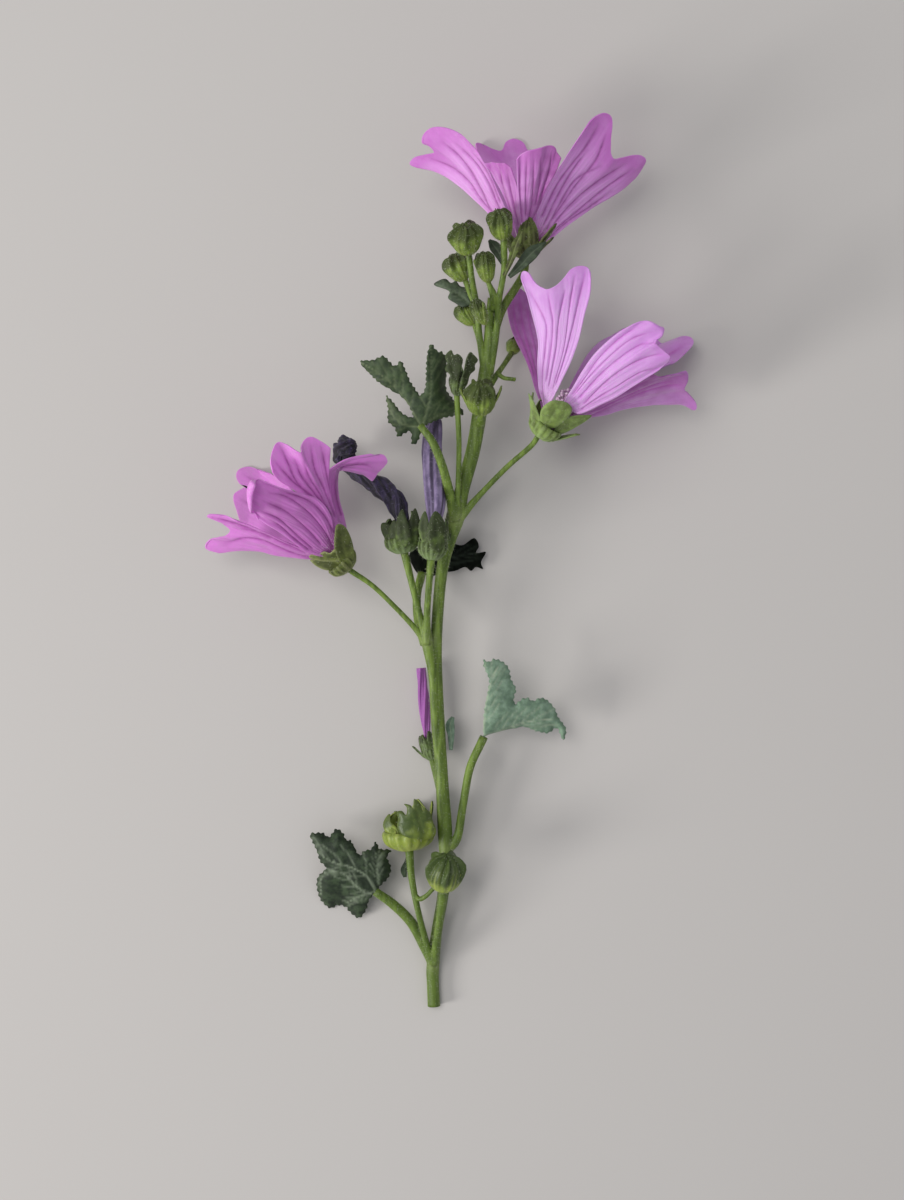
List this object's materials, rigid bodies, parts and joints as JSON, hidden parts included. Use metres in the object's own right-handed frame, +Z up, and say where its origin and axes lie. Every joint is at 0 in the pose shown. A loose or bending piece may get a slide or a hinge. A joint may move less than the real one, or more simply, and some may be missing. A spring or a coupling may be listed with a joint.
{
  "type": "common mallow flower",
  "caption": "Cut flowering stem of common mallow lying flat, with open mauve blooms, closed buds, rolled faded flowers, lobed leaves and green fruits on its stalks.",
  "frame": {"origin": "on the surface the stem lies on, under the middle of the object's box", "axes": "+Y along the stem from its cut end towards the top bloom, +Z up from the surface towards the viewer, +X to the right of the stem as seen from above"},
  "size_m": [0.0853, 0.1558, 0.0281],
  "materials": {
    "stem": "satin, finely hairy",
    "calyx": "matte, hairy",
    "bud": "matte, hairy",
    "petal": "soft satin with darker veins",
    "stamens": "matte, powdery",
    "faded_petal": "matte, creased",
    "fruit": "satin, ribbed",
    "nutlets": "matte, netted",
    "leaf": "matte, finely hairy"
  },
  "bodies": {
    "root": {"bud_hidden": "bud", "bud_inner": "bud", "bud_leafy": "bud", "bud_left": "bud", "bud_lowest": "bud", "bud_on_stem": "bud", "bud_side": "bud", "bud_top_left": "bud", "bud_top_middle": "bud", "calyx_faded_left": "calyx", "calyx_faded_middle": "calyx", "calyx_faded_pink": "calyx", "calyx_left_bloom": "calyx", "calyx_low_fruit": "fruit", "calyx_right_bloom": "calyx", "calyx_top_bloom": "calyx", "fruit_on_stem": "bud", "leaf_low": "leaf", "leaf_right": "leaf", "leaf_top_left": "leaf", "leaf_under": "leaf", "leaf_upper": "leaf", "leaflet_dark": "leaf", "leaflet_hanging": "leaf", "leaflet_pale": "leaf", "leaflet_shaded": "leaf", "leaflet_stem": "leaf", "nutlets_low_fruit": "nutlets", "petal_left_bloom_1": "petal", "petal_left_bloom_2": "petal", "petal_left_bloom_3": "petal", "petal_left_bloom_4": "petal", "petal_left_bloom_5": "petal", "petal_right_bloom_1": "petal", "petal_right_bloom_2": "petal", "petal_right_bloom_3": "petal", "petal_right_bloom_4": "petal", "petal_right_bloom_5": "petal", "petal_top_bloom_1": "petal", "petal_top_bloom_2": "petal", "petal_top_bloom_3": "petal", "petal_top_bloom_4": "petal", "petal_top_bloom_5": "petal", "rolled_petals_left": "faded_petal", "rolled_petals_middle": "faded_petal", "rolled_petals_pink": "petal", "stamens_left_bloom": "stamens", "stamens_right_bloom": "stamens", "stamens_top_bloom": "stamens", "stem": "stem"}
  },
  "joints": []
}
